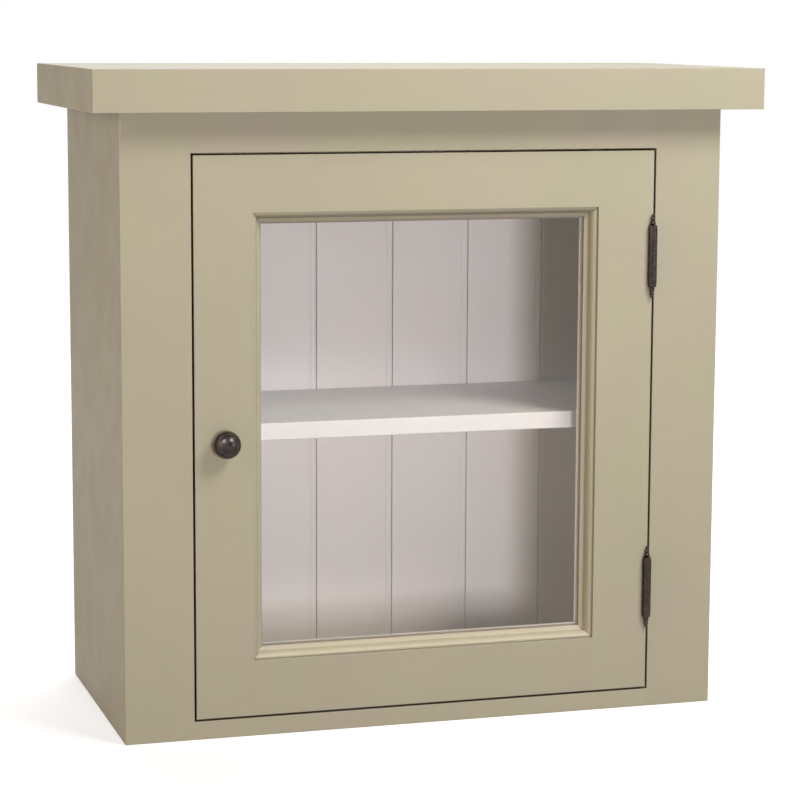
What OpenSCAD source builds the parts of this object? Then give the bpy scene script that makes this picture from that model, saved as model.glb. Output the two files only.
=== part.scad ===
// Wall cabinet: glazed inset door in a face frame, one shelf, tongue-and-groove back.
// Millimetres. X runs to the right, Y to the wall and Z up.
// The origin is on the base plane, under the middle of the top board.

/* [Carcass] */
// Width over the two sides
carcass_w = 545; // [480:1:620]
// Depth from the face of the frame to the wall
carcass_d = 258; // [200:1:320]
// Height from the base to the underside of the top board
carcass_h = 545; // [480:1:640]
// Thickness of each side
side_t = 18; // [15:0.5:22]
// Thickness of the bottom board
bottom_t = 16; // [12:0.5:18]
// Depth that the bottom board and the shelf are let into the sides
housing_depth = 5; // [3:0.5:8]

/* [Top board] */
// Thickness of the top board
top_t = 36; // [30:1:45]
// How far the top board stands out past each side
top_side_overhang = 27.5; // [15:0.5:40]
// How far the top board stands out past the face of the frame
top_front_overhang = 32; // [28:1:45]
// Height and width of the battens that hold the top board
batten = 20; // [16:1:26]
// Distance from each batten's ends to the frame and to the back boards
batten_end_gap = 10; // [5:1:25]

/* [Face frame] */
// Thickness of the face frame
frame_t = 24; // [23.5:0.5:28]
// Width of each face frame stile
frame_stile_w = 61; // [45:1:75]
// Height of the face frame's top rail
frame_top_rail_h = 35; // [28:1:60]
// Height of the face frame's bottom rail
frame_bottom_rail_h = 16; // [14:0.5:30]
// Length of the face frame's tenons
frame_tenon_l = 25; // [15:1:35]
// Thickness of the face frame's tenons
frame_tenon_t = 7; // [5:0.5:10]
// Shoulder above and below each face frame tenon
frame_tenon_shoulder = 4; // [2:0.5:5]

/* [Shelf] */
// Thickness of the shelf
shelf_t = 15.5; // [12:0.5:20]
// Height of the shelf's top face above the base
shelf_top_z = 270; // [150:1:400]
// Distance from the face of the frame to the front edge of the shelf
shelf_setback = 43; // [40:1:120]

/* [Back] */
// Width that each full back board covers
board_pitch = 76.3; // [60:0.1:90]
// Thickness of the back boards
board_t = 9; // [8:0.5:14]
// Gap between the faces of two back boards
board_gap = 0.3; // [0.1:0.1:1]
// Length of the tongues
tongue_l = 5; // [3:0.5:8]
// Thickness of the tongues
tongue_t = 3; // [2:0.5:4]
// Width of the bead beside each joint
board_bead_w = 6; // [4:0.5:9]
// Radius that rounds the bead down into the joint
board_bead_r = 1.8; // [1:0.1:3]
// Depth of the quirk that parts the bead from the board
quirk_depth = 0.6; // [0.3:0.1:1.2]
// Depth of the rebate in each side, across the back boards
rebate_depth = 10; // [7:0.5:13]
// Thickness of the two rails behind the boards
back_rail_t = 10; // [8:1:18]
// Height of the hanging rail
hanging_rail_h = 60; // [45:1:90]
// Height of the lower back rail
lower_rail_h = 40; // [30:1:70]
// Diameter of the two holes for wall screws
wall_hole_d = 5.5; // [4:0.1:7]
// Distance from the middle of those holes down from the top of the hanging rail
wall_hole_drop = 30; // [20:1:40]

/* [Door] */
// Gap between the door and the face frame
door_gap = 2; // [1.6:0.1:3]
// Thickness of the door
door_t = 23.5; // [22:0.5:23.5]
// Width of each door stile
door_stile_w = 52; // [40:0.5:65]
// Height of each door rail
door_rail_h = 49.5; // [40:0.5:65]
// Length of the door's tenons
door_tenon_l = 32; // [20:1:38]
// Thickness of the door's tenons
door_tenon_t = 7; // [5:0.5:8]
// Shoulder above and below each door tenon
door_tenon_shoulder = 8; // [4:0.5:12]

/* [Glazing] */
// Width of the front moulding
moulding_w = 9; // [8.5:0.5:14]
// Step from the face of the door down to the moulding
moulding_drop = 3; // [2:0.5:4]
// Flat beside the ovolo, at the moulding's outer edge
ovolo_flat = 1.2; // [0.5:0.1:1.5]
// Width of the ovolo beside the flat
ovolo_w = 4.3; // [3.5:0.1:5]
// Depth of the moulding's lip below the face of the door, beside the ovolo
lip_drop = 12; // [10:0.5:12.5]
// How much deeper the lip lies at the moulding's inner edge
lip_fall = 1.1; // [0.5:0.1:1.5]
// Depth of the glass's front face below the face of the door
glass_drop = 15; // [14:0.5:15.5]
// Thickness of the glass
glass_t = 3; // [3:0.5:4]
// Gap round the edge of the glass
glass_edge_gap = 0.5; // [0.3:0.1:2]
// Width of the beads behind the glass
bead_w = 10.5; // [8:0.5:14]
// Radius on the beads' inner arris
bead_r = 1.5; // [1:0.5:3]
// Diameter of the bead pins
bead_pin_d = 1.2; // [1:0.1:1.6]
// How far each bead pin goes into the door's frame
bead_pin_bite = 6; // [4:0.5:10]

/* [Hinges] */
// Height of the hinge leaves and of their knuckles together
hinge_len = 51; // [40:1:64]
// Distance from the end of the door to the middle of each hinge
hinge_inset = 94; // [60:1:130]
// Diameter of the barrel
barrel_d = 8; // [7:0.1:8.6]
// Diameter of the pin
pin_d = 4.8; // [3.5:0.1:5.2]
// Thickness of the leaves
leaf_t = 1.6; // [1.2:0.1:1.8]
// Width of each leaf from the pin's axis
leaf_w = 22; // [18:0.5:22.5]
// Depth that the frame's leaf is let into its stile
leaf_let_in = 0.5; // [0.3:0.1:1]
// Distance from the face of the door out to the pin's axis
axis_out = 3; // [2.8:0.1:4]
// Distance from the edge of the door in to the pin's axis
axis_in = 1.1; // [0.8:0.1:1.4]
// Gap between the two knuckles
knuckle_gap = 0.3; // [0.2:0.1:0.6]
// Running clearance round the pin, on the radius
pin_clear = 0.05; // [0.02:0.01:0.1]
// Length of each finial past the barrel
finial_l = 12.4; // [10:0.2:14]
// Diameter of each finial's collar
finial_collar_d = 7.2; // [6:0.1:7.6]
// Height of each finial's collar
finial_collar_h = 2.2; // [1.4:0.1:2.6]
// Diameter of each finial's largest ball
finial_ball_d = 4.8; // [3.5:0.1:5]

/* [Knob] */
// Diameter of the knob
knob_d = 24; // [20:0.5:28]
// Height of the knob from the face of the door
knob_h = 22.5; // [19:0.5:26]
// Diameter of the knob's foot
knob_foot_d = 14; // [10:0.5:18]
// Diameter of the knob's stem
knob_stem_d = 9; // [7:0.5:10]
// Distance of the knob below the middle of the door
knob_below_middle = 2; // [-40:1:40]
// Diameter of the knob's screw
knob_screw_d = 4; // [3:0.5:5]
// How far the knob's screw goes into the knob
knob_screw_bite = 9; // [6:0.5:12]

/* [Catch] */
// Height of the catch above the knob
catch_above_knob = 62; // [50:1:100]
// Width of the catch body across the opening
catch_w = 13; // [11:0.5:16]
// Depth of the catch body
catch_depth = 14; // [11:0.5:18]
// Height of the catch body between its ears
catch_h = 30; // [24:1:40]
// Height of each ear
ear_h = 9; // [8:0.5:12]
// Thickness of the ears
ear_t = 3; // [2:0.5:4]
// Wall of the catch body round the magnet
catch_wall = 2; // [1.5:0.1:2.5]
// Thickness of the pole plates beside the magnet
pole_t = 1.2; // [1:0.1:1.5]
// How far the pole plates stand out of the catch body
pole_proud = 0.8; // [0.5:0.1:1.5]
// Thickness of the strike plate
strike_t = 1.2; // [1:0.1:2]
// Width of the strike plate
strike_w = 12; // [10:0.5:14]
// Height of the strike plate
strike_h = 28; // [20:1:34]
// Distance from the edge of the door to the strike plate
strike_inset = 2; // [1:0.5:4]
// Gap between the strike plate and the pole plates
catch_gap = 0.4; // [0.3:0.1:1]
// Width of the block that carries the catch
catch_block_w = 22; // [18:1:30]
// Height of the block that carries the catch
catch_block_h = 70; // [60:1:90]

/* [Fixings] */
// Diameter of the large screws' shank
screw_d = 3.5; // [3:0.1:4.5]
// Diameter of the large screws' head
screw_head_d = 7; // [6:0.1:8]
// Diameter of the small screws' shank
small_screw_d = 2.6; // [2:0.1:3]
// Diameter of the small screws' head
small_screw_head_d = 5.2; // [4.5:0.1:5.6]
// Length of the small screws
small_screw_l = 16; // [12:1:20]
// How far a large screw goes into the last piece that it holds
screw_bite = 13; // [9:0.5:15]
// Diameter of the dowels behind the face frame
dowel_d = 8; // [6:0.5:10]
// Length of the dowels
dowel_l = 30; // [20:1:36]
// Distance from the ends of the frame to the outer dowels
dowel_inset = 60; // [45:1:90]
// Clearance round tenons and dowels
joint_fit = 0.1; // [0.05:0.05:0.3]
// Clearance round screws, pins and studs
screw_fit = 0.05; // [0.02:0.01:0.1]

/* [Hidden] */
$fn = 48;

// Colours
sage = [0.71, 0.68, 0.58];
cream = [0.86, 0.84, 0.81];
bare_wood = [0.80, 0.67, 0.48];
bronze = [0.25, 0.21, 0.19];
steel = [0.72, 0.72, 0.74];
plastic = [0.90, 0.89, 0.86];
ferrite = [0.18, 0.18, 0.19];
glass_tint = [0.80, 0.88, 0.86, 0.35];

// Small amounts
over = 1;              // how far a cut runs past the face that it opens
mortise_spare = 1;     // room past the end of a tenon, tongue or dowel
body_clear = 0.3;      // least gap between the door's pieces and the frame's
back_edge_gap = 0.5;   // gap between the outer back boards and the rebates
joint_press = 0.02;    // room round a pin or spigot that is driven in

// Carcass planes
half_w = carcass_w / 2;
inner_x = half_w - side_t;
back_x = inner_x + rebate_depth;
top_d = carcass_d + top_front_overhang;
wall_y = top_d / 2;
face_y = wall_y - carcass_d;
frame_back_y = face_y + frame_t;
rail_y = wall_y - back_rail_t;
board_y = rail_y - board_t;
mid_z = carcass_h / 2;

// Face frame opening
open_x = half_w - frame_stile_w;
open_z0 = frame_bottom_rail_h;
open_z1 = carcass_h - frame_top_rail_h;

// Door planes
door_x = open_x - door_gap;
door_z0 = open_z0 + door_gap;
door_z1 = open_z1 - door_gap;
door_mid_z = (door_z0 + door_z1) / 2;
door_back_y = face_y + door_t;
pane_x = door_x - door_stile_w;
pane_z0 = door_z0 + door_rail_h;
pane_z1 = door_z1 - door_rail_h;
pane_half_h = (pane_z1 - pane_z0) / 2;
glass_back = glass_drop + glass_t;

// Shelf and battens
shelf_y = face_y + shelf_setback;
shelf_z0 = shelf_top_z - shelf_t;
batten_y0 = frame_back_y + batten_end_gap;
batten_y1 = board_y - batten_end_gap;
batten_z = carcass_h - batten;
batten_len = batten_y1 - batten_y0;

// Back
last_board = 6;
middle_board = last_board / 2;
quirk_w = 1;
board_arris = 0.5;
wall_hole_z = carcass_h - wall_hole_drop;
wall_hole_boards = [1, last_board - 1];

// Degrees between the points of the ovolo's curve
ovolo_step = 5;

// Hinges
hinge_x = door_x - axis_in;
hinge_y = face_y - axis_out;
hinge_zs = [door_z0 + hinge_inset, door_z1 - hinge_inset];
barrel_r = barrel_d / 2;
barrel_room_r = barrel_r + body_clear;
frame_leaf_x1 = axis_in + door_gap + leaf_let_in;
frame_leaf_x0 = frame_leaf_x1 - leaf_t;
door_leaf_x1 = axis_in;
door_leaf_x0 = door_leaf_x1 - leaf_t;
spigot_l = 4;
pin_end_gap = 0.5;
finial_neck_d = 2.2;
finial_middle_share = 0.8;
finial_tip_share = 0.62;
finial_ball_seat = 0.4;
finial_middle_d = finial_ball_d * finial_middle_share;
finial_tip_d = finial_ball_d * finial_tip_share;
finial_ball_z = finial_collar_h + finial_ball_d / 2 - finial_ball_seat;
finial_tip_z = finial_l - finial_tip_d / 2;
finial_middle_z = (finial_ball_z + finial_ball_d / 2 + finial_tip_z - finial_tip_d / 2) / 2;

// Screws in each hinge leaf: height from the middle, and distance from the pin's axis
hinge_screw_z = hinge_len / 3;
near_screw_share = 0.5;
far_screw_share = 0.72;
hinge_screw_near = leaf_w * near_screw_share;
hinge_screw_far = leaf_w * far_screw_share;
leaf_screws = [
    [-hinge_screw_z, hinge_screw_near],
    [0, hinge_screw_far],
    [hinge_screw_z, hinge_screw_near]
];

// Knob
knob_x = -door_x + door_stile_w / 2;
knob_z = door_mid_z - knob_below_middle;
knob_r = knob_d / 2;
knob_rim_h = knob_h - knob_r;
knob_foot_h = 1.6;
knob_groove_r = 0.65;
outer_groove_share = 0.86;
inner_groove_share = 0.71;
knob_screw_head_d = 8;
knob_screw_head_h = 2.4;

// Catch
catch_z = knob_z + catch_above_knob;
pole_y = door_back_y + strike_t + catch_gap;
catch_y0 = pole_y + pole_proud;
catch_y1 = catch_y0 + catch_depth;
catch_x1 = -open_x + catch_w;
magnet_w = catch_w - 2 * catch_wall - 2 * pole_t;
magnet_h = catch_h - 2 * catch_wall;
magnet_depth = catch_depth - catch_wall;
strike_x0 = -door_x + strike_inset;
block_screw_inset = 12;
block_screw_z = catch_block_h / 2 - block_screw_inset;

// Screw proportions: a slot's width against the head's diameter, and its depth against the
// head's height
slot_share = 0.16;
slot_depth_share = 0.4;

// Screw lengths; the batten's screws stop inside the top board and inside the side
top_screw_share = 0.6;
side_screw_share = 0.7;
top_board_screw_l = batten + top_t * top_screw_share;
batten_screw_l = batten + side_t * side_screw_share;
back_rail_screw_l = back_rail_t + board_t + screw_bite;
catch_block_screw_l = catch_y1 - frame_back_y + screw_bite;

function head_h(shank, head) = (head - shank) / 2;
function board_mid(i) = (i - middle_board) * board_pitch;
function board_left(i) = i == 0 ? -back_x + back_edge_gap : board_mid(i) - (board_pitch - board_gap) / 2;
function board_right(i) = -board_left(last_board - i);

// A block between two corners
module block(x0, x1, y0, y1, z0, z1) {
    translate([x0, y0, z0])
        cube([x1 - x0, y1 - y0, z1 - z0]);
}

// The waste outside a quarter circle that is centred on the origin
module corner_waste(r) {
    difference() {
        square(r + over);
        circle(r);
    }
}

// Countersunk screw with its head flush at the origin, pointing down
module csk_screw(len, shank, head) {
    slot = head * slot_share;
    difference() {
        rotate_extrude()
            polygon([
                [0, 0],
                [head / 2, 0],
                [shank / 2, -head_h(shank, head)],
                [shank / 2, shank - len],
                [shank / 8, -len],
                [0, -len]
            ]);
        translate([-head / 2 - over, -slot / 2, -head_h(shank, head) * slot_depth_share])
            cube([head + 2 * over, slot, head]);
    }
}

// The hole that such a screw fits
module csk_hole(len, shank, head) {
    grown = shank + 2 * screw_fit;
    translate([0, 0, -len - screw_fit])
        cylinder(h = len + over, d = grown);
    translate([0, 0, -head_h(shank, head)])
        cylinder(h = head_h(shank, head), d1 = grown, d2 = head + 2 * screw_fit);
    cylinder(h = over, d = head + 2 * screw_fit);
}

// Directions in which a screw's point faces
module point_left() {
    rotate([0, 90, 0])
        children();
}
module point_right() {
    rotate([0, -90, 0])
        children();
}
module point_front() {
    rotate([-90, 0, 0])
        children();
}
module point_up() {
    rotate([180, 0, 0])
        children();
}

// Places of the fixings
module at_top_board_screws() {
    for (s = [-1, 1])
        for (y = [batten_y0 + batten, batten_y1 - batten])
            translate([s * (inner_x - batten / 2), y, batten_z])
                point_up()
                    children();
}
module at_batten_screws() {
    for (y = [batten_y0 + batten_len / 3, batten_y1 - batten_len / 3]) {
        translate([-inner_x + batten, y, carcass_h - batten / 2])
            point_left()
                children();
        translate([inner_x - batten, y, carcass_h - batten / 2])
            point_right()
                children();
    }
}
module at_back_rail_screws() {
    end_x = inner_x + rebate_depth / 2;
    heights = [carcass_h - hanging_rail_h / 4, carcass_h - hanging_rail_h * 3 / 4, lower_rail_h * 3 / 4];
    for (x = [-end_x, end_x])
        for (z = heights)
            translate([x, wall_y, z])
                point_front()
                    children();
    for (i = [1, middle_board, last_board - 1])
        translate([board_mid(i), wall_y, bottom_t / 2])
            point_front()
                children();
}
module at_catch_screws() {
    for (s = [-1, 1])
        translate([-open_x + ear_t, (catch_y0 + catch_y1) / 2, catch_z + s * (catch_h + ear_h) / 2])
            point_left()
                children();
}
module at_catch_block_screws() {
    for (s = [-1, 1])
        translate([-open_x - catch_block_w / 2, catch_y1, catch_z + s * block_screw_z])
            point_front()
                children();
}
module at_strike_screw() {
    translate([strike_x0 + strike_w / 2, door_back_y + strike_t, catch_z])
        point_front()
            children();
}
module at_leaf_screws() {
    for (p = leaf_screws)
        translate([0, p[1], p[0]])
            children();
}
module at_dowels() {
    for (s = [-1, 1])
        for (z = [dowel_inset, mid_z, carcass_h - dowel_inset])
            translate([s * (half_w - side_t / 2), frame_back_y, z])
                rotate([90, 0, 0])
                    children();
}
module at_bead_pins() {
    depth = (glass_back + door_t) / 2;
    for (t = [-1, 0, 1]) {
        for (s = [0, 1])
            mirror([s, 0, 0])
                translate([-pane_x, face_y + depth, door_mid_z + t * pane_half_h * 2 / 3])
                    rotate([0, 90, 0])
                        children();
        translate([t * pane_x * 2 / 3, face_y + depth, pane_z0])
            children();
        translate([t * pane_x * 2 / 3, face_y + depth, pane_z1])
            mirror([0, 0, 1])
                children();
    }
}

// Top board
module top_board() {
    color(sage)
        difference() {
            block(-half_w - top_side_overhang, half_w + top_side_overhang,
                -wall_y, wall_y, carcass_h, carcass_h + top_t);
            at_top_board_screws()
                csk_hole(top_board_screw_l, screw_d, screw_head_d);
        }
}

// The left side; the right side mirrors it
module side_board() {
    difference() {
        block(-half_w, -inner_x, frame_back_y, wall_y, 0, carcass_h);
        block(-back_x, -inner_x + over, board_y, wall_y + over, -over, carcass_h + over);
        block(-inner_x - housing_depth, -inner_x + over,
            frame_back_y - over, board_y + over, -over, bottom_t);
        block(-inner_x - housing_depth, -inner_x + over,
            shelf_y, board_y + over, shelf_z0, shelf_top_z);
        at_batten_screws()
            csk_hole(batten_screw_l, screw_d, screw_head_d);
        at_back_rail_screws()
            csk_hole(back_rail_screw_l, screw_d, screw_head_d);
        at_dowels()
            dowel_hole();
    }
}
module left_side() {
    color(sage)
        side_board();
}
module right_side() {
    color(sage)
        mirror([1, 0, 0])
            side_board();
}

// Bottom board and shelf
module bottom_board() {
    reach = inner_x + housing_depth;
    color(cream)
        difference() {
            block(-reach, reach, frame_back_y, board_y, 0, bottom_t);
            at_back_rail_screws()
                csk_hole(back_rail_screw_l, screw_d, screw_head_d);
        }
}
module shelf() {
    reach = inner_x + housing_depth;
    color(cream)
        block(-reach, reach, shelf_y, board_y, shelf_z0, shelf_top_z);
}

// Dowels between the face frame and the sides
module dowel_hole() {
    len = dowel_l + 2 * mortise_spare;
    cylinder(h = len, d = dowel_d + 2 * joint_fit, center = true);
}
module frame_dowels() {
    color(bare_wood)
        at_dowels()
            cylinder(h = dowel_l, d = dowel_d, center = true);
}

// Tenons of a rail between two heights, and the mortises for them
module tenons(half_x, back, t, len, z0, z1, fit, spare) {
    mid_y = (face_y + back) / 2;
    reach = half_x + len + spare;
    block(-reach, reach, mid_y - t / 2 - fit, mid_y + t / 2 + fit, z0 - fit, z1 + fit);
}
module frame_tenons(fit, spare) {
    for (r = [[0, open_z0], [open_z1, carcass_h]])
        tenons(open_x, frame_back_y, frame_tenon_t, frame_tenon_l, r[0] + frame_tenon_shoulder,
            r[1] - frame_tenon_shoulder, fit, spare);
}
module door_tenons(fit, spare) {
    for (r = [[door_z0, pane_z0], [pane_z1, door_z1]])
        tenons(pane_x, door_back_y, door_tenon_t, door_tenon_l, r[0] + door_tenon_shoulder,
            r[1] - door_tenon_shoulder, fit, spare);
}

// Face frame
module frame_stile_blank() {
    difference() {
        block(-half_w, -open_x, face_y, frame_back_y, 0, carcass_h);
        frame_tenons(joint_fit, mortise_spare);
        at_dowels()
            dowel_hole();
    }
}
module frame_stile_left() {
    color(sage)
        difference() {
            frame_stile_blank();
            at_catch_block_screws()
                csk_hole(catch_block_screw_l, small_screw_d, small_screw_head_d);
        }
}
module frame_stile_right() {
    color(sage)
        difference() {
            mirror([1, 0, 0])
                frame_stile_blank();
            at_hinges()
                block(0, frame_leaf_x1, 0, leaf_w + joint_fit,
                    -hinge_len / 2 - joint_fit, hinge_len / 2 + joint_fit);
            frame_hinge_screw_holes();
        }
}
module frame_rail(z0, z1) {
    color(sage)
        union() {
            block(-open_x, open_x, face_y, frame_back_y, z0, z1);
            intersection() {
                frame_tenons(0, 0);
                block(-half_w, half_w, face_y, frame_back_y, z0, z1);
            }
        }
}
module frame_rail_top() {
    frame_rail(open_z1, carcass_h);
}
module frame_rail_bottom() {
    frame_rail(0, open_z0);
}

// Section of one back board: tongue on the right, groove on the left
module board_section(i) {
    left = board_left(i);
    right = board_right(i);
    tongue_y = (board_t - tongue_t) / 2;
    difference() {
        union() {
            translate([left, 0])
                square([right - left, board_t]);
            if (i < last_board)
                translate([right, tongue_y])
                    square([board_gap + tongue_l, tongue_t]);
        }
        if (i > 0) {
            translate([left - over, tongue_y - joint_fit])
                square([over + tongue_l + mortise_spare, tongue_t + 2 * joint_fit]);
            polygon([
                [left - over, -over],
                [left + board_arris + over, -over],
                [left - over, board_arris + over]
            ]);
        }
        if (i < last_board) {
            translate([right - board_bead_r, board_bead_r])
                mirror([0, 1])
                    corner_waste(board_bead_r);
            translate([right - board_bead_w, 0])
                polygon([
                    [-quirk_w / 2, -over],
                    [-quirk_w / 2, 0],
                    [0, quirk_depth],
                    [quirk_w / 2, 0],
                    [quirk_w / 2, -over]
                ]);
        }
    }
}
module back_board(i) {
    color(cream)
        difference() {
            translate([0, board_y, 0])
                linear_extrude(carcass_h)
                    board_section(i);
            at_back_rail_screws()
                csk_hole(back_rail_screw_l, screw_d, screw_head_d);
            wall_holes();
        }
}
module back_board_1() back_board(0);
module back_board_2() back_board(1);
module back_board_3() back_board(2);
module back_board_4() back_board(3);
module back_board_5() back_board(4);
module back_board_6() back_board(5);
module back_board_7() back_board(6);

// Holes for the two wall screws
module wall_holes() {
    for (i = wall_hole_boards)
        translate([board_mid(i), board_y - over, wall_hole_z])
            rotate([-90, 0, 0])
                cylinder(h = board_t + back_rail_t + 2 * over, d = wall_hole_d);
}

// Rails behind the boards
module back_rail(z0, z1) {
    reach = back_x - back_edge_gap;
    color(bare_wood)
        difference() {
            block(-reach, reach, rail_y, wall_y, z0, z1);
            at_back_rail_screws()
                csk_hole(back_rail_screw_l, screw_d, screw_head_d);
            wall_holes();
        }
}
module hanging_rail() {
    back_rail(carcass_h - hanging_rail_h, carcass_h);
}
module lower_back_rail() {
    back_rail(0, lower_rail_h);
}

// Battens that hold the top board
module top_batten() {
    difference() {
        block(-inner_x, -inner_x + batten, batten_y0, batten_y1, batten_z, carcass_h);
        at_batten_screws()
            csk_hole(batten_screw_l, screw_d, screw_head_d);
        at_top_board_screws()
            csk_hole(top_board_screw_l, screw_d, screw_head_d);
    }
}
module top_batten_left() {
    color(cream)
        top_batten();
}
module top_batten_right() {
    color(cream)
        mirror([1, 0, 0])
            top_batten();
}

// Screws of the carcass
module top_board_screws() {
    color(steel)
        at_top_board_screws()
            csk_screw(top_board_screw_l, screw_d, screw_head_d);
}
module batten_screws() {
    color(steel)
        at_batten_screws()
            csk_screw(batten_screw_l, screw_d, screw_head_d);
}
module back_rail_screws() {
    color(steel)
        at_back_rail_screws()
            csk_screw(back_rail_screw_l, screw_d, screw_head_d);
}

// Magnetic catch behind the left stile of the face frame
module catch_block() {
    color(cream)
        difference() {
            block(-open_x - catch_block_w, -open_x, frame_back_y, catch_y1,
                catch_z - catch_block_h / 2, catch_z + catch_block_h / 2);
            at_catch_block_screws()
                csk_hole(catch_block_screw_l, small_screw_d, small_screw_head_d);
            at_catch_screws()
                csk_hole(small_screw_l, small_screw_d, small_screw_head_d);
        }
}
module magnet_room(side, depth) {
    block(-open_x + catch_wall, -open_x + catch_wall + side, catch_y0, catch_y0 + depth,
        catch_z - magnet_h / 2, catch_z + magnet_h / 2);
}
module catch_body() {
    ear_z = catch_h / 2 + ear_h;
    color(plastic)
        difference() {
            union() {
                block(-open_x, catch_x1, catch_y0, catch_y1,
                    catch_z - catch_h / 2, catch_z + catch_h / 2);
                block(-open_x, -open_x + ear_t, catch_y0, catch_y1,
                    catch_z - ear_z, catch_z + ear_z);
            }
            translate([0, -over, 0])
                magnet_room(magnet_w + 2 * pole_t, magnet_depth + over);
            at_catch_screws()
                csk_hole(small_screw_l, small_screw_d, small_screw_head_d);
        }
}
module catch_magnet() {
    color(ferrite)
        translate([pole_t, 0, 0])
            magnet_room(magnet_w, magnet_depth);
}
module catch_pole_plates() {
    color(steel)
        for (x = [0, magnet_w + pole_t])
            translate([x, -pole_proud, 0])
                magnet_room(pole_t, magnet_depth + pole_proud);
}
module catch_screws() {
    color(steel)
        at_catch_screws()
            csk_screw(small_screw_l, small_screw_d, small_screw_head_d);
}
module catch_block_screws() {
    color(steel)
        at_catch_block_screws()
            csk_screw(catch_block_screw_l, small_screw_d, small_screw_head_d);
}
module catch_strike() {
    color(steel)
        difference() {
            block(strike_x0, strike_x0 + strike_w, door_back_y, door_back_y + strike_t,
                catch_z - strike_h / 2, catch_z + strike_h / 2);
            at_strike_screw()
                csk_hole(small_screw_l, small_screw_d, small_screw_head_d);
        }
}
module catch_strike_screw() {
    color(steel)
        at_strike_screw()
            csk_screw(small_screw_l, small_screw_d, small_screw_head_d);
}

// Places and parts of the hinges, about the pin's axis
module at_hinge(z) {
    translate([hinge_x, hinge_y, z])
        children();
}
module at_hinges() {
    for (z = hinge_zs)
        at_hinge(z)
            children();
}
module frame_leaf_screw_places() {
    at_hinges()
        at_leaf_screws()
            translate([frame_leaf_x0, 0, 0])
                point_right()
                    children();
}
module door_leaf_screw_places() {
    at_hinges()
        at_leaf_screws()
            translate([door_leaf_x1, 0, 0])
                point_left()
                    children();
}
module frame_hinge_screw_holes() {
    frame_leaf_screw_places()
        csk_hole(small_screw_l, small_screw_d, small_screw_head_d);
}
module door_hinge_screw_holes() {
    door_leaf_screw_places()
        csk_hole(small_screw_l, small_screw_d, small_screw_head_d);
}
module leaf_plate(x0, x1) {
    block(x0, x1, 0, leaf_w, -hinge_len / 2, hinge_len / 2);
}

// The lower knuckle and the leaf on the face frame
module hinge_frame_leaf(z) {
    color(bronze)
        difference() {
            at_hinge(z)
                difference() {
                    union() {
                        leaf_plate(frame_leaf_x0, frame_leaf_x1);
                        translate([0, 0, -hinge_len / 2])
                            cylinder(h = hinge_len / 2 - knuckle_gap / 2, d = barrel_d);
                    }
                    translate([0, 0, -knuckle_gap / 2])
                        cylinder(h = hinge_len, r = barrel_room_r);
                    translate([0, 0, -hinge_len])
                        cylinder(h = hinge_len, d = pin_d + 2 * joint_press);
                }
            frame_hinge_screw_holes();
        }
}
module upper_hinge_frame_leaf() {
    hinge_frame_leaf(hinge_zs[1]);
}
module lower_hinge_frame_leaf() {
    hinge_frame_leaf(hinge_zs[0]);
}

// The upper knuckle and the leaf on the door
module hinge_door_leaf(z) {
    color(bronze)
        difference() {
            at_hinge(z)
                difference() {
                    union() {
                        leaf_plate(door_leaf_x0, door_leaf_x1);
                        translate([0, 0, knuckle_gap / 2])
                            cylinder(h = hinge_len / 2 - knuckle_gap / 2, d = barrel_d);
                    }
                    translate([0, 0, knuckle_gap / 2 - hinge_len])
                        cylinder(h = hinge_len, r = barrel_room_r);
                    cylinder(h = hinge_len, d = pin_d + 2 * pin_clear);
                }
            door_hinge_screw_holes();
        }
}
module upper_hinge_door_leaf() {
    hinge_door_leaf(hinge_zs[1]);
}
module lower_hinge_door_leaf() {
    hinge_door_leaf(hinge_zs[0]);
}

// Pins, fixed in the lower knuckles
module hinge_pins() {
    bottom = -hinge_len / 2 + spigot_l;
    color(steel)
        at_hinges()
            translate([0, 0, bottom])
                cylinder(h = hinge_len - 2 * spigot_l - pin_end_gap, d = pin_d);
}

// A turned finial of three balls, with its spigot, standing on the end of the barrel
module finial() {
    translate([0, 0, -spigot_l])
        cylinder(h = spigot_l + finial_collar_h, d = pin_d);
    cylinder(h = finial_collar_h, d = finial_collar_d);
    cylinder(h = finial_tip_z, d = finial_neck_d);
    translate([0, 0, finial_ball_z])
        sphere(d = finial_ball_d);
    translate([0, 0, finial_middle_z])
        sphere(d = finial_middle_d);
    translate([0, 0, finial_tip_z])
        sphere(d = finial_tip_d);
}
module hinge_lower_finials() {
    color(bronze)
        at_hinges()
            translate([0, 0, -hinge_len / 2])
                mirror([0, 0, 1])
                    finial();
}
module hinge_upper_finials() {
    color(bronze)
        at_hinges()
            translate([0, 0, hinge_len / 2])
                finial();
}
module frame_hinge_screws() {
    color(bronze)
        frame_leaf_screw_places()
            csk_screw(small_screw_l, small_screw_d, small_screw_head_d);
}
module door_hinge_screws() {
    color(bronze)
        door_leaf_screw_places()
            csk_screw(small_screw_l, small_screw_d, small_screw_head_d);
}

// Door frame
module door_stile_blank() {
    difference() {
        block(-door_x, -pane_x, face_y, door_back_y, door_z0, door_z1);
        door_tenons(joint_fit, mortise_spare);
        at_bead_pins()
            bead_pin_hole();
    }
}
module door_stile_knob() {
    color(sage)
        difference() {
            door_stile_blank();
            at_knob()
                translate([0, 0, -door_t - over])
                    cylinder(h = door_t + 2 * over, d = knob_screw_d + 2 * screw_fit);
            at_strike_screw()
                csk_hole(small_screw_l, small_screw_d, small_screw_head_d);
        }
}
module door_stile_hinge() {
    notch_h = hinge_len + 2 * (finial_collar_h + body_clear);
    color(sage)
        difference() {
            mirror([1, 0, 0])
                door_stile_blank();
            at_hinges() {
                block(door_leaf_x0, door_leaf_x1 + over, 0, leaf_w + joint_fit,
                    -hinge_len / 2 - joint_fit, hinge_len / 2 + joint_fit);
                cylinder(h = notch_h, r = barrel_room_r, center = true);
            }
            door_hinge_screw_holes();
        }
}
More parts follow.
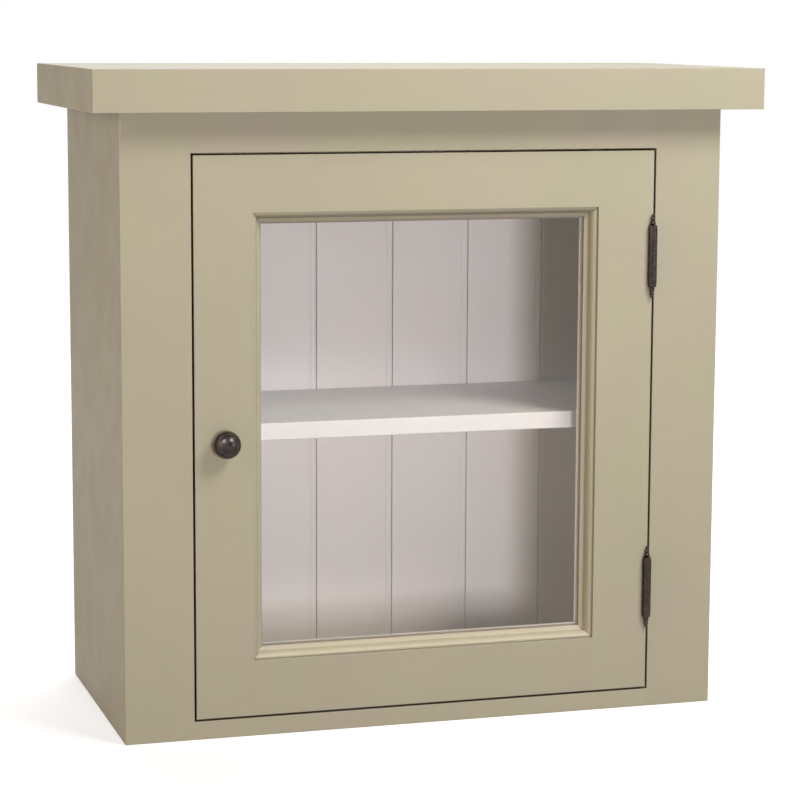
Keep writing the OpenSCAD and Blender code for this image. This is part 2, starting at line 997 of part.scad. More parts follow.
module door_rail(z0, z1) {
    color(sage)
        difference() {
            union() {
                block(-pane_x, pane_x, face_y, door_back_y, z0, z1);
                intersection() {
                    door_tenons(0, 0);
                    block(-door_x, door_x, face_y, door_back_y, z0, z1);
                }
            }
            at_bead_pins()
                bead_pin_hole();
        }
}
module door_rail_top() {
    door_rail(pane_z1, door_z1);
}
module door_rail_bottom() {
    door_rail(door_z0, pane_z0);
}

// A bar along X with mitred ends, from a section drawn as depth and width
module mitred_bar(half_len, w, depth) {
    intersection() {
        translate([-half_len, 0, 0])
            rotate([90, 0, 90])
                linear_extrude(2 * half_len)
                    children();
        translate([0, depth + over, 0])
            rotate([90, 0, 0])
                linear_extrude(depth + 2 * over)
                    polygon([[-half_len, 0], [half_len, 0], [half_len - w, w], [w - half_len, w]]);
    }
}
module on_left_edge() {
    translate([-pane_x, face_y, door_mid_z])
        rotate([0, 90, 0])
            children();
}
module on_right_edge() {
    mirror([1, 0, 0])
        on_left_edge()
            children();
}
module on_bottom_edge() {
    translate([0, face_y, pane_z0])
        children();
}
module on_top_edge() {
    translate([0, face_y, pane_z1])
        mirror([0, 0, 1])
            children();
}

// Front moulding: flat, ovolo and sloping lip, with the glass behind. The ovolo is a quarter of
// an ellipse that starts level with the flat and ends square to the lip.
module moulding_section() {
    deep = lip_drop - moulding_drop;
    ovolo = [
        for (turn = [0:ovolo_step:90])
            [lip_drop - deep * cos(turn), ovolo_flat + ovolo_w * sin(turn)]
    ];
    inner_edge = [
        [lip_drop + lip_fall, moulding_w],
        [glass_drop, moulding_w],
        [glass_drop, 0],
        [moulding_drop, 0]
    ];
    polygon(concat(ovolo, inner_edge));
}
module moulding(half_len) {
    color(sage)
        mitred_bar(half_len, moulding_w, glass_drop)
            moulding_section();
}
module moulding_left() {
    on_left_edge()
        moulding(pane_half_h);
}
module moulding_right() {
    on_right_edge()
        moulding(pane_half_h);
}
module moulding_top() {
    on_top_edge()
        moulding(pane_x);
}
module moulding_bottom() {
    on_bottom_edge()
        moulding(pane_x);
}

// Glass
module glass_pane() {
    g = glass_edge_gap;
    color(glass_tint)
        block(-pane_x + g, pane_x - g, face_y + glass_drop, face_y + glass_back,
            pane_z0 + g, pane_z1 - g);
}

// Beads behind the glass, pinned to the door's frame
module bead_section() {
    difference() {
        translate([glass_back, 0])
            square([door_t - glass_back, bead_w]);
        translate([door_t - bead_r, bead_w - bead_r])
            corner_waste(bead_r);
    }
}
module glazing_bead(half_len) {
    color(cream)
        mitred_bar(half_len, bead_w, door_t)
            bead_section();
}
module bead_pin_hole() {
    translate([0, 0, -bead_pin_bite - screw_fit])
        cylinder(h = bead_pin_bite + bead_w + over, d = bead_pin_d + 2 * screw_fit);
}
module glazing_bead_left() {
    drilled_for_pins()
        on_left_edge()
            glazing_bead(pane_half_h);
}
module glazing_bead_right() {
    drilled_for_pins()
        on_right_edge()
            glazing_bead(pane_half_h);
}
module glazing_bead_top() {
    drilled_for_pins()
        on_top_edge()
            glazing_bead(pane_x);
}
module glazing_bead_bottom() {
    drilled_for_pins()
        on_bottom_edge()
            glazing_bead(pane_x);
}
module drilled_for_pins() {
    difference() {
        children();
        at_bead_pins()
            bead_pin_hole();
    }
}
module bead_pins() {
    color(steel)
        at_bead_pins()
            translate([0, 0, -bead_pin_bite])
                cylinder(h = bead_pin_bite + bead_w - bead_r / 2, d = bead_pin_d);
}

// Knob on the left stile, drawn with its axis up
module at_knob() {
    translate([knob_x, face_y, knob_z])
        rotate([90, 0, 0])
            children();
}
module knob_section() {
    flare_r = knob_rim_h - knob_foot_h;
    stem_r = knob_stem_d / 2;
    difference() {
        union() {
            square([knob_foot_d / 2, knob_foot_h]);
            square([stem_r, knob_rim_h]);
            difference() {
                square([knob_r, knob_rim_h]);
                translate([stem_r + flare_r, knob_foot_h])
                    circle(flare_r);
                translate([stem_r + flare_r, -over])
                    square([knob_r, knob_foot_h + flare_r]);
                translate([stem_r, -over])
                    square([knob_r, knob_foot_h + over]);
            }
            intersection() {
                translate([0, knob_rim_h])
                    circle(knob_r);
                translate([0, knob_rim_h - over])
                    square([knob_r, knob_h]);
            }
        }
        for (r = [knob_r * outer_groove_share, knob_r * inner_groove_share])
            translate([r, knob_rim_h + sqrt(knob_r * knob_r - r * r)])
                circle(knob_groove_r);
        translate([-over, -over])
            square([over + knob_screw_d / 2 + screw_fit, over + knob_screw_bite + mortise_spare]);
    }
}
module knob() {
    color(bronze)
        at_knob()
            rotate_extrude()
                knob_section();
}
module knob_screw() {
    slot = knob_screw_head_d * slot_share;
    color(steel)
        at_knob()
            difference() {
                union() {
                    translate([0, 0, -door_t - knob_screw_head_h / 2])
                        cylinder(h = knob_screw_head_h / 2 + door_t + knob_screw_bite, d = knob_screw_d);
                    translate([0, 0, -door_t - knob_screw_head_h])
                        cylinder(h = knob_screw_head_h, d = knob_screw_head_d);
                }
                translate([-knob_screw_head_d, -slot / 2, -door_t - knob_screw_head_h - over])
                    cube([2 * knob_screw_head_d, slot, over + knob_screw_head_h * slot_depth_share]);
            }
}

top_board();
left_side();
right_side();
bottom_board();
shelf();
frame_stile_left();
frame_stile_right();
frame_rail_top();
frame_rail_bottom();
back_board_1();
back_board_2();
back_board_3();
back_board_4();
back_board_5();
back_board_6();
back_board_7();
hanging_rail();
lower_back_rail();
top_batten_left();
top_batten_right();
top_board_screws();
batten_screws();
back_rail_screws();
frame_dowels();
catch_block();
catch_body();
catch_magnet();
catch_pole_plates();
catch_screws();
catch_block_screws();
upper_hinge_frame_leaf();
lower_hinge_frame_leaf();
hinge_pins();
hinge_lower_finials();
frame_hinge_screws();
door_stile_knob();
door_stile_hinge();
door_rail_top();
door_rail_bottom();
moulding_left();
moulding_right();
moulding_top();
moulding_bottom();
glass_pane();
glazing_bead_left();
glazing_bead_right();
glazing_bead_top();
glazing_bead_bottom();
bead_pins();
knob();
knob_screw();
upper_hinge_door_leaf();
lower_hinge_door_leaf();
hinge_upper_finials();
door_hinge_screws();
catch_strike();
catch_strike_screw();
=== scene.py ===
import math

import bpy
from mathutils import Matrix, Vector


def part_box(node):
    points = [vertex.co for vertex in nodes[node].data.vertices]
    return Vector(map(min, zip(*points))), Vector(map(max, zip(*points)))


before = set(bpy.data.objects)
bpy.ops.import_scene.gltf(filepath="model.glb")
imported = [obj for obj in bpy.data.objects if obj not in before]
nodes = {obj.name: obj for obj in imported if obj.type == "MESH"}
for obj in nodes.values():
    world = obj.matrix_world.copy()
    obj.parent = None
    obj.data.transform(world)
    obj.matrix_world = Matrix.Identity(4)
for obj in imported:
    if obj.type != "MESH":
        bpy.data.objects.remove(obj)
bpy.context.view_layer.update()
MM = 0.001

# Colours, as sRGB shares of 255
SAGE = (166, 161, 135)
SAGE_WARM = (167, 159, 137)
SAGE_WORN = (196, 188, 168)
OFF_WHITE = (236, 228, 220)
OFF_WHITE_WARM = (237, 226, 217)
OFF_WHITE_WORN = (246, 241, 236)
# The shelf's whites are the off-white made darker: painted shade on the shelf
SHADED_SHELF_WHITE = (226, 220, 217)
SHADED_SHELF_WHITE_WARM = (227, 219, 215)
BARE_WOOD = (201, 166, 117)
BRONZE = (72, 64, 62)
BRONZE_WORN = (150, 136, 126)
ZINC = (176, 177, 180)
ZINC_WORN = (215, 215, 216)
CATCH_PLASTIC = (222, 219, 210)
FERRITE = (46, 45, 47)
GLASS_TINT = (250, 251, 248)
FLOOR = (206, 206, 204)
FLOOR_BOUNCE = (170, 160, 145)
SAGE_PAINT = (SAGE, SAGE_WARM, SAGE_WORN)
WHITE_PAINT = (OFF_WHITE, OFF_WHITE_WARM, OFF_WHITE_WORN)
SHADED_SHELF_PAINT = (SHADED_SHELF_WHITE, SHADED_SHELF_WHITE_WARM, OFF_WHITE_WORN)
# Warm painted shade for the corner inside the cabinet at the hinge side
CORNER_SHADE_TINT = (241, 231, 207)

# Camera, fitted to the corners of the cabinet in the photograph
CAMERA_AT = Vector((-0.67399, -2.26172, 0.62186))
CAMERA_YAW = 0.2929
CAMERA_PITCH = -0.1457
CAMERA_ROLL = 0.0043
LENS_MM = 116.54
SENSOR_MM = 36

# Lamps face a point in the cabinet. Azimuth is degrees right of its front and elevation degrees
# above level; distance and size are in metres, and strength is in watts. The front lamp stands
# for light from the whole room, so it makes no highlights; the last two only make highlights.
# The floor glows with the distance from the cabinet, so that it keeps the shadow
LAMPS_FACE = Vector((0, -0.1, 0.3))
LIGHTS = {
    "key": {"azimuth": 31, "elevation": 45, "distance": 1.5, "size": 0.55, "watts": 16,
            "colour": (1, 0.99, 0.94), "lights": True, "shines": True},
    "front": {"azimuth": -4, "elevation": 3, "distance": 2.6, "size": 0.45, "watts": 39,
              "colour": (0.86, 0.84, 0.97), "lights": True, "shines": False},
    "left": {"azimuth": -75, "elevation": 14, "distance": 2.2, "size": 1.0, "watts": 13.5,
             "colour": (1, 0.75, 0.44), "lights": True, "shines": True},
    "behind": {"azimuth": 180, "elevation": 58, "distance": 2.0, "size": 1.0, "watts": 29,
               "colour": (0.9, 0.9, 1), "lights": True, "shines": True},
    "right": {"azimuth": 108, "elevation": 14, "distance": 2.2, "size": 1.0, "watts": 17,
              "colour": (1, 0.92, 0.82), "lights": True, "shines": True},
    "gleam": {"azimuth": 38, "elevation": 8, "distance": 2.0, "size": 0.3, "watts": 4.5,
              "colour": (1, 0.98, 0.94), "lights": False, "shines": True},
    "window": {"azimuth": -48, "elevation": 36, "distance": 2.0, "size": 0.9, "watts": 26,
               "colour": (0.97, 0.95, 1), "lights": False, "shines": True},
}
DAYLIGHT = 0.01
GLOW_NEAR = 0.62
GLOW_STARTS = 0.9
GLOW_FULL = 1.8
FLOOR_SIZE = 24
FLOOR_DROP = 0.2 * MM

# Noise scales are per metre, along x, y and z; those of wood and brush marks are least along the
# grain. A seed moves the noise, so that neither pieces nor layers look alike. Most noise lies
# within its span
GRAIN_SCALES = {"x": (7, 230, 230), "y": (230, 7, 230), "z": (230, 230, 7)}
BRUSH_SCALES = {"x": (26, 1500, 1500), "y": (1500, 26, 1500), "z": (1500, 1500, 26)}
GROWTH_SCALES = {"x": (5, 120, 320), "z": (120, 320, 5)}
TURNING_SCALES = (60, 60, 2600)
SMEAR_SCALES = (26, 26, 9)
NOISE_SPAN = (0.3, 0.7)

# How round paint makes an arris, how far joints and the painted crevice shade reach, and where
# the warm painted corner shade starts and is full across the cabinet
PAINT_ARRIS = 1.1 * MM
FLUSH_ARRIS = 0.308 * MM
JOINT_REACH = 2 * MM
CREVICE_SHADE_REACH = 4 * MM
CORNER_SHADE_FROM = 150 * MM
CORNER_SHADE_FULL = 205 * MM

# Painted crevice shade is full at the first share of open space round a point, and gone at the
# second. An arris starts and is full at these turns of the rounded normal, as 1 minus a cosine.
# Facing is 1 for faces that look up, 0 for upright ones and -1 for those that look down
CREVICE_SHADE_OPEN = (0.1, 0.48)
ARRIS_TURN = (0.02, 0.12)
LEDGE_LIGHT_FACING = (-0.6, 0.5)
UNDER_SHADE_FACING = (-0.4, -0.1)

# A tint is a colour, as sRGB shares of 255, that multiplies the paint's own; a gain multiplies its
# lightness. Drift and streaks add to that gain. The crevice and gap tints and the underside's gain
# are painted shade; the ledge gain is painted light above and painted shade below
CREVICE_SHADE_TINT = (176, 166, 154)
GAP_SHADE_TINT = (112, 98, 78)
UNDER_SHADE = 0.42
LEDGE_LIGHT_AND_SHADE = (0.74, 1.45)
DRIFT = (-0.02, 0.02)
STREAKS = (-0.006, 0.006)

# Shares of the worn colour: the least and the most on an arris, where it is worn paint and a
# painted highlight, and that in a chip. A chip's depth is in heights of the paint's relief, and its
# edge wanders about a share of its reach
ARRIS_LIGHTENING_SHARE = (0.08, 0.45)
CHIP_SHARE = 0.4
CHIP_DEPTH = 2.0
CHIP_LIMIT = 0.9
CHIP_RAGGED = (-0.6, 0.6)

# Gloss and relief, least and most where there are two; a bump's distance is in metres
PAINT_ROUGHNESS = (0.44, 0.52)
WOOD_ROUGHNESS = (0.55, 0.7)
GLASS_ROUGHNESS = (0.0, 0.035)
PAINT_SPECULAR = 0.42
GLASS_SPECULAR = 0.12
GLASS_PASSES = (0.96, 0.97, 0.965, 1)
PAINT_BUMP = {"Strength": 0.12, "Distance": 0.12 * MM}
WOOD_BUMP = {"Strength": 0.4, "Distance": 0.1 * MM}
MOULDED_BUMP = {"Strength": 0.3, "Distance": 0.03 * MM}
TURNED_BUMP = {"Strength": 0.45, "Distance": 0.2 * MM}
SCRATCHED_BUMP = {"Strength": 0.35, "Distance": 0.06 * MM}


def linear(colour):
    """sRGB shares of 255 as linear light, with alpha."""
    shares = [c / 255 for c in colour]
    return [s / 12.92 if s <= 0.04045 else ((s + 0.055) / 1.055) ** 2.4 for s in shares] + [1]


def darker(colour, share):
    """A share of a colour's linear light, with alpha."""
    return [c * share for c in linear(colour)[:3]] + [1]


def add(tree, kind, settings=None, **inputs):
    """Adds a shader node. An input is a value or another node's output; _ stands for a space."""
    made = tree.nodes.new("ShaderNode" + kind)
    for name, value in (settings or {}).items():
        setattr(made, name, value)
    for name, value in inputs.items():
        key = int(name[1:]) if name[1:].isdigit() else name.replace("_", " ")
        socket = made.inputs[key]
        if isinstance(value, bpy.types.NodeSocket):
            tree.links.new(value, socket)
        else:
            socket.default_value = value
    return made


def blank_material(name):
    material = bpy.data.materials.new(name)
    material.use_nodes = True
    material.node_tree.nodes.clear()
    return material, material.node_tree


def finish_material(tree, shader):
    out = add(tree, "OutputMaterial")
    tree.links.new(shader, out.inputs["Surface"])


def object_point(tree):
    return add(tree, "TexCoord").outputs["Object"]


def noise(tree, point, scale, detail=2.0, seed=0.0, roughness=0.5):
    """Noise from 0 to 1; scale is one number, or three for stretched grain."""
    scales = (scale,) * 3 if isinstance(scale, (int, float)) else scale
    moved = add(tree, "Mapping", Vector=point, Location=(seed, seed * 0.7, seed * 1.3),
                Scale=scales)
    made = add(tree, "TexNoise", Vector=moved.outputs[0], Scale=1.0, Detail=detail,
               Roughness=roughness)
    return made.outputs["Fac"]


def ramp(tree, value, low, high, to_low=0.0, to_high=1.0):
    """Maps low to high onto to_low to to_high, with no overshoot."""
    made = add(tree, "MapRange", Value=value, From_Min=low, From_Max=high,
               To_Min=to_low, To_Max=to_high)
    return made.outputs["Result"]


def maths(tree, operation, first, second=0.0):
    return add(tree, "Math", {"operation": operation}, i0=first, i1=second).outputs[0]


def mix(tree, share, first, second, blend="MIX"):
    made = add(tree, "Mix", {"data_type": "RGBA", "blend_type": blend}, i0=share)
    for socket, value in ((made.inputs[6], first), (made.inputs[7], second)):
        if isinstance(value, bpy.types.NodeSocket):
            tree.links.new(value, socket)
        else:
            socket.default_value = value
    return made.outputs[2]


def crevice_shade(tree, reach):
    """Painted shade: 1 in narrow gaps and inner corners, 0 on open faces."""
    open_share = add(tree, "AmbientOcclusion", {"samples": 6}, Distance=reach).outputs["AO"]
    return ramp(tree, open_share, *CREVICE_SHADE_OPEN, 1.0, 0.0)


def near(tree, value, plane, reach):
    """1 within reach of a plane, 0 elsewhere."""
    away = maths(tree, "ABSOLUTE", maths(tree, "SUBTRACT", value, plane))
    return maths(tree, "LESS_THAN", away, reach)


def outside(tree, value, low, high):
    """1 below low or above high, 0 between them."""
    below = maths(tree, "LESS_THAN", value, low)
    above = maths(tree, "GREATER_THAN", value, high)
    return maths(tree, "MAXIMUM", below, above)


def edge_mask(tree, radius):
    """0 on flat faces, 1 on arrises, from how far the rounded normal turns away."""
    rounded = add(tree, "Bevel", {"samples": 6}, Radius=radius).outputs[0]
    flat = add(tree, "NewGeometry").outputs["Normal"]
    turned = add(tree, "VectorMath", {"operation": "DOT_PRODUCT"}, i0=rounded, i1=flat)
    away = maths(tree, "SUBTRACT", 1.0, turned.outputs["Value"])
    return ramp(tree, away, *ARRIS_TURN), rounded


def paint_colour(tree, point, base, warm, grain, seed):
    """A painted colour with slow drift in tone and faint brush streaks."""
    drift = noise(tree, point, 7.0, detail=2.0, seed=seed)
    hue = noise(tree, point, 11.0, detail=1.0, seed=seed + 3.1)
    streaks = noise(tree, point, GRAIN_SCALES[grain], detail=3.0, seed=seed + 5.7, roughness=0.6)
    tone = mix(tree, ramp(tree, hue, 0.35, 0.65), linear(base), linear(warm))
    lightness = maths(tree, "ADD", ramp(tree, drift, *NOISE_SPAN, *DRIFT),
                      ramp(tree, streaks, *NOISE_SPAN, *STREAKS))
    return shade(tree, tone, maths(tree, "ADD", 1.0, lightness))


def shade(tree, colour, gain):
    grey = add(tree, "CombineColor", i0=gain, i1=gain, i2=gain).outputs[0]
    return mix(tree, 1.0, colour, grey, "MULTIPLY")


def tinted(tree, colour, tint):
    return mix(tree, 1.0, colour, linear(tint), "MULTIPLY")


def upward(tree):
    """1 on faces that look up, 0 on upright ones, -1 on those that look down."""
    normal = add(tree, "NewGeometry").outputs["Normal"]
    return add(tree, "SeparateXYZ", Vector=normal).outputs[2]


def ledge_light_and_shade(tree):
    """Painted light on the faces that look up, and painted shade on those that look down."""
    return ramp(tree, upward(tree), *LEDGE_LIGHT_FACING, *LEDGE_LIGHT_AND_SHADE)


def under_shade_gain(tree):
    """Painted shade on the underside and its arris."""
    return ramp(tree, upward(tree), *UNDER_SHADE_FACING, UNDER_SHADE, 1.0)


def dim_corner(tree, xyz):
    """1 inside the cabinet at the hinge side, where the warm painted shade goes, 0 elsewhere."""
    within = maths(tree, "MULTIPLY", maths(tree, "LESS_THAN", xyz.outputs[0], SIDE_FACE_X),
                   maths(tree, "LESS_THAN", xyz.outputs[1], BOARD_FACE_Y))
    return maths(tree, "MULTIPLY", ramp(tree, xyz.outputs[0], CORNER_SHADE_FROM, CORNER_SHADE_FULL), within)


def flush_joint(tree, xyz, joint):
    """1 where flush pieces meet, so that their arrises are no rounder there than a hair line."""
    across = maths(tree, "ABSOLUTE", xyz.outputs[0])
    at_rail = near(tree, across, joint["x"], JOINT_REACH)
    beside_rail = outside(tree, xyz.outputs[2], joint["z0"], joint["z1"])
    return maths(tree, "MULTIPLY", at_rail, beside_rail)


def arris_radius(tree, xyz, joint, seam_y):
    """How round the paint makes an arris: far less where flush pieces meet."""
    if joint is not None:
        flush = flush_joint(tree, xyz, joint)
    elif seam_y is not None:
        flush = near(tree, xyz.outputs[1], seam_y, JOINT_REACH)
    else:
        return PAINT_ARRIS
    return ramp(tree, flush, 0.0, 1.0, PAINT_ARRIS, FLUSH_ARRIS)


def paint_relief(tree, point, grain, seed):
    """Brush marks along the grain over a fine stipple."""
    marks = noise(tree, point, BRUSH_SCALES[grain], detail=3.0, seed=seed + 2.2, roughness=0.65)
    stipple = noise(tree, point, 900.0, detail=2.0, seed=seed + 8.3)
    return maths(tree, "ADD", maths(tree, "MULTIPLY", marks, 0.6),
                 maths(tree, "MULTIPLY", stipple, 0.4))


def painted(name, grain, seed, paint=SAGE_PAINT, joint=None, seam_y=None, chip=None,
            lit_and_shaded_ledges=False, yellows=False, shaded_below=False, shade_tint=CREVICE_SHADE_TINT):
    """Satin paint over the whole piece, lighter at its arrises as worn paint and a painted
    highlight, with painted shade in its crevices.
    """
    material, tree = blank_material(name)
    point = object_point(tree)
    xyz = add(tree, "SeparateXYZ", Vector=point)
    base, warm, worn_colour = paint
    colour = paint_colour(tree, point, base, warm, grain, seed)
    if lit_and_shaded_ledges:
        # Painted light on ledges that look up, painted shade on those that look down
        colour = shade(tree, colour, ledge_light_and_shade(tree))
    if yellows:
        # Warm painted shade in the corner at the hinge side
        colour = mix(tree, dim_corner(tree, xyz), colour, tinted(tree, colour, CORNER_SHADE_TINT))
    edge, rounded = edge_mask(tree, arris_radius(tree, xyz, joint, seam_y))
    worn = noise(tree, point, 160.0, detail=3.0, seed=seed + 1.5)
    # Lighter arrises: worn paint and a painted highlight
    rubbed = maths(tree, "MULTIPLY", edge, ramp(tree, worn, 0.40, 0.62, *ARRIS_LIGHTENING_SHARE))
    relief = paint_relief(tree, point, grain, seed)
    if chip is not None:
        bare = chipped(tree, point, *chip)
        rubbed = maths(tree, "MAXIMUM", rubbed, maths(tree, "MULTIPLY", bare, CHIP_SHARE))
        relief = maths(tree, "SUBTRACT", relief, maths(tree, "MULTIPLY", bare, CHIP_DEPTH))
    colour = mix(tree, rubbed, colour, linear(worn_colour))
    # Painted shade in crevices and in the gaps round the door
    colour = mix(tree, crevice_shade(tree, CREVICE_SHADE_REACH), colour, tinted(tree, colour, shade_tint))
    if shaded_below:
        # Painted shade on faces that look down
        colour = shade(tree, colour, under_shade_gain(tree))
    bump = add(tree, "Bump", Height=relief, Normal=rounded, **PAINT_BUMP)
    gloss = noise(tree, point, 30.0, detail=2.0, seed=seed + 4.4)
    shader = add(tree, "BsdfPrincipled", Base_Color=colour, Normal=bump.outputs[0],
                 Roughness=ramp(tree, gloss, *NOISE_SPAN, *PAINT_ROUGHNESS))
    shader.inputs["Specular IOR Level"].default_value = PAINT_SPECULAR
    finish_material(tree, shader.outputs[0])
    return material


def chipped(tree, point, centre, reach):
    """1 inside a ragged chip of the paint, 0 elsewhere."""
    offset = add(tree, "VectorMath", {"operation": "SUBTRACT"}, i0=point, i1=centre)
    shares = add(tree, "VectorMath", {"operation": "DIVIDE"}, i0=offset.outputs[0], i1=reach)
    away = add(tree, "VectorMath", {"operation": "LENGTH"}, i0=shares.outputs[0])
    rough = noise(tree, point, 420.0, detail=3.0, seed=7.7, roughness=0.7)
    ragged = ramp(tree, rough, *NOISE_SPAN, *CHIP_RAGGED)
    return maths(tree, "LESS_THAN", maths(tree, "ADD", away.outputs["Value"], ragged), CHIP_LIMIT)


def white_paint(name, grain, seed, **more):
    return painted(name, grain, seed, WHITE_PAINT, **more)


def planed_wood(name, grain, seed):
    """Unpainted softwood with growth lines along the grain."""
    material, tree = blank_material(name)
    point = object_point(tree)
    lines = noise(tree, point, GROWTH_SCALES[grain], detail=3.0, seed=seed, roughness=0.6)
    pores = noise(tree, point, BRUSH_SCALES[grain], detail=3.0, seed=seed + 4)
    light = linear(BARE_WOOD)
    dark = darker(BARE_WOOD, 0.58)
    colour = mix(tree, ramp(tree, lines, 0.38, 0.66), light, dark)
    colour = mix(tree, ramp(tree, pores, 0.55, 0.75, 0.0, 0.35), colour, dark)
    edge, rounded = edge_mask(tree, 0.8 * MM)
    colour = mix(tree, maths(tree, "MULTIPLY", edge, 0.25), colour, light)
    bump = add(tree, "Bump", Height=pores, Normal=rounded, **WOOD_BUMP)
    shader = add(tree, "BsdfPrincipled", Base_Color=colour,
                 Roughness=ramp(tree, lines, *NOISE_SPAN, *WOOD_ROUGHNESS), Normal=bump.outputs[0])
    finish_material(tree, shader.outputs[0])
    return material


def metal(name, base, worn, roughness, mottle_scale, wear_radius, wear_full, seed, turned=False):
    """Metal with mottled tone, rubbed edges and fine scratches or upright turning marks."""
    material, tree = blank_material(name)
    point = object_point(tree)
    mottle = noise(tree, point, mottle_scale, detail=4.0, seed=seed, roughness=0.62)
    fine = noise(tree, point, mottle_scale * 5, detail=2.0, seed=seed + 3)
    dark = darker(base, 0.55)
    colour = mix(tree, ramp(tree, mottle, 0.35, 0.68), dark, linear(base))
    edge, _ = edge_mask(tree, wear_radius)
    rubbed = maths(tree, "MULTIPLY", edge, ramp(tree, fine, 0.38, 0.60, 0.05, wear_full))
    colour = mix(tree, rubbed, colour, linear(worn))
    if turned:
        turning = noise(tree, point, TURNING_SCALES, detail=2.0, seed=seed + 6)
        bump = add(tree, "Bump", Height=turning, **TURNED_BUMP)
    else:
        bump = add(tree, "Bump", Height=fine, **SCRATCHED_BUMP)
    shader = add(tree, "BsdfPrincipled", Base_Color=colour, Metallic=1.0,
                 Roughness=ramp(tree, mottle, *NOISE_SPAN, roughness - 0.06, roughness + 0.08),
                 Normal=bump.outputs[0])
    finish_material(tree, shader.outputs[0])
    return material


def moulded(name, base, roughness, seed):
    """Matte moulded plastic or ferrite."""
    material, tree = blank_material(name)
    point = object_point(tree)
    cloud = noise(tree, point, 90.0, detail=2.0, seed=seed)
    grit = noise(tree, point, 2400.0, detail=2.0, seed=seed + 2)
    dull = darker(base, 0.86)
    edge, rounded = edge_mask(tree, 0.5 * MM)
    colour = mix(tree, ramp(tree, cloud, 0.35, 0.65), linear(base), dull)
    # Painted highlight: the arrises are mixed towards white
    colour = mix(tree, maths(tree, "MULTIPLY", edge, 0.2), colour, (1, 1, 1, 1))
    bump = add(tree, "Bump", Height=grit, Normal=rounded, **MOULDED_BUMP)
    shader = add(tree, "BsdfPrincipled", Base_Color=colour,
                 Roughness=ramp(tree, cloud, *NOISE_SPAN, roughness - 0.05, roughness + 0.05),
                 Normal=bump.outputs[0])
    finish_material(tree, shader.outputs[0])
    return material


def clear_glass(name):
    """Window glass with faint smears; lamps and scattered light pass straight through."""
    material, tree = blank_material(name)
    point = object_point(tree)
    smears = noise(tree, point, SMEAR_SCALES, detail=4.0, seed=2.0, roughness=0.6)
    shader = add(tree, "BsdfPrincipled", Base_Color=linear(GLASS_TINT), IOR=1.5,
                 Transmission_Weight=1.0, Roughness=ramp(tree, smears, 0.55, 0.8, *GLASS_ROUGHNESS))
    shader.inputs["Specular IOR Level"].default_value = GLASS_SPECULAR
    rays = add(tree, "LightPath")
    passing = maths(tree, "MAXIMUM", rays.outputs["Is Shadow Ray"], rays.outputs["Is Diffuse Ray"])
    open_way = add(tree, "BsdfTransparent", Color=GLASS_PASSES)
    both = add(tree, "MixShader", i0=passing, i1=shader.outputs[0], i2=open_way.outputs[0])
    finish_material(tree, both.outputs[0])
    return material


WELD_WITHIN = 0.01 * MM
FLAT_WITHIN = math.radians(1)
ARRIS_FROM = math.radians(35)


def soften(node, width, segments):
    """Rounds a node's arrises by width, in metres, with modifiers only."""
    piece = nodes[node]
    piece.data.shade_smooth()
    weld = piece.modifiers.new("join corners", "WELD")
    weld.merge_threshold = WELD_WITHIN
    flatten = piece.modifiers.new("join flat faces", "DECIMATE")
    flatten.decimate_type = "DISSOLVE"
    flatten.angle_limit = FLAT_WITHIN
    bevel = piece.modifiers.new("soft arrises", "BEVEL")
    bevel.width = width
    bevel.segments = segments
    bevel.limit_method = "ANGLE"
    bevel.angle_limit = ARRIS_FROM
    bevel.miter_outer = "MITER_ARC"
    bevel.use_clamp_overlap = True
    bevel.harden_normals = False
    weighted = piece.modifiers.new("flat faces stay flat", "WEIGHTED_NORMAL")
    weighted.keep_sharp = False


def dress(names, material):
    for name in names:
        for held in nodes[name].material_slots:
            held.material = material


# Planes where flush pieces meet, and just behind the inner faces, read from the frame
FACE_REACH = 3 * MM
SEAM_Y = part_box("left_side")[0].y
BOARD_FACE_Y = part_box("back_board_4")[0].y + FACE_REACH
SIDE_FACE_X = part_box("right_side")[0].x + FACE_REACH
FRAME_JOINT = {
    "x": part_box("frame_stile_right")[0].x,
    "z0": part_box("frame_rail_bottom")[1].z,
    "z1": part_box("frame_rail_top")[0].z,
}
DOOR_JOINT = {
    "x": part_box("door_stile_hinge")[0].x,
    "z0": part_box("door_rail_bottom")[1].z,
    "z1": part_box("door_rail_top")[0].z,
}
STILE_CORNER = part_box("frame_stile_left")[0]
CHIP_AT = Vector((STILE_CORNER.x, STILE_CORNER.y, 532 * MM))
CHIP_REACH = Vector((2.6 * MM, 1.4 * MM, 8 * MM))

BACK_BOARDS = [f"back_board_{i}" for i in range(1, 8)]
FRAME_STILES = ["frame_stile_left", "frame_stile_right"]
FRAME_RAILS = ["frame_rail_top", "frame_rail_bottom"]
DOOR_STILES = ["door_stile_knob", "door_stile_hinge"]
DOOR_RAILS = ["door_rail_top", "door_rail_bottom"]
MOULDINGS_UP = ["moulding_left", "moulding_right"]
MOULDINGS_ACROSS = ["moulding_top", "moulding_bottom"]
BEADS_UP = ["glazing_bead_left", "glazing_bead_right"]
BEADS_ACROSS = ["glazing_bead_top", "glazing_bead_bottom"]
BATTENS = ["top_batten_left", "top_batten_right"]
BACK_RAILS = ["hanging_rail", "lower_back_rail"]
LEAVES = ["upper_hinge_frame_leaf", "lower_hinge_frame_leaf",
          "upper_hinge_door_leaf", "lower_hinge_door_leaf"]
FINIALS = ["hinge_lower_finials", "hinge_upper_finials"]
BRONZE_SMALL = ["knob", "frame_hinge_screws", "door_hinge_screws", "hinge_pins"]
STEEL_SMALL = ["top_board_screws", "batten_screws", "back_rail_screws", "catch_screws",
               "catch_block_screws", "catch_pole_plates", "catch_strike", "catch_strike_screw",
               "knob_screw", "bead_pins"]

